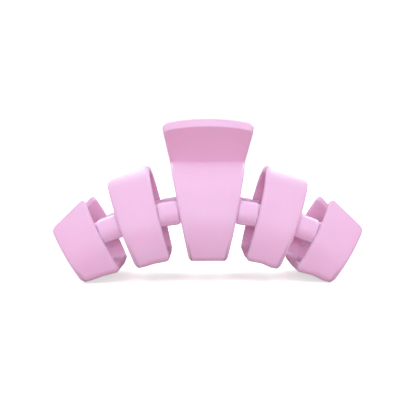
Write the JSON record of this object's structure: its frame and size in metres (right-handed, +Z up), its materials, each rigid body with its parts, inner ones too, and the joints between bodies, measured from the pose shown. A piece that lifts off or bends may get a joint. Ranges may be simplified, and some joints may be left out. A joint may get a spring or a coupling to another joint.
{
  "type": "claw clip",
  "caption": "Large hair claw clip: two curved jaws of broad fingers joined by bead links, with thumb levers and a sprung hinge.",
  "frame": {"origin": "under the middle of the closed clip, on the surface that it stands on", "axes": "+X along the clip, +Y from the front jaw to the rear jaw, +Z up towards the thumb levers"},
  "size_m": [0.1068, 0.04, 0.056],
  "materials": {
    "pink_plastic": "satin moulded",
    "steel_pin": "drawn",
    "spring_wire": "drawn wire"
  },
  "bodies": {
    "front_jaw": {"front_center_finger": "pink_plastic", "front_thumb_lever": "pink_plastic", "front_left_inner_finger": "pink_plastic", "front_right_inner_finger": "pink_plastic", "front_left_outer_finger": "pink_plastic", "front_right_outer_finger": "pink_plastic", "front_left_inner_link": "pink_plastic", "front_right_inner_link": "pink_plastic", "front_left_outer_link": "pink_plastic", "front_right_outer_link": "pink_plastic", "front_left_hinge_lug": "pink_plastic", "front_right_hinge_lug": "pink_plastic", "hinge_pin": "steel_pin", "torsion_spring": "spring_wire"},
    "rear_jaw": {"rear_center_finger": "pink_plastic", "rear_thumb_lever": "pink_plastic", "rear_left_inner_finger": "pink_plastic", "rear_right_inner_finger": "pink_plastic", "rear_left_outer_finger": "pink_plastic", "rear_right_outer_finger": "pink_plastic", "rear_left_inner_link": "pink_plastic", "rear_right_inner_link": "pink_plastic", "rear_left_outer_link": "pink_plastic", "rear_right_outer_link": "pink_plastic", "rear_left_hinge_lug": "pink_plastic", "rear_right_hinge_lug": "pink_plastic"}
  },
  "joints": [
    {"name": "jaw_hinge", "type": "hinge", "parent": "front_jaw", "child": "rear_jaw", "pos_m": [0, 0, 0.037], "axis": [1, 0, 0], "range_deg": [0, 55], "stiffness_Nm_per_rad": 0.12, "springref_deg": -45.84, "deforming": ["torsion_spring"]}
  ]
}
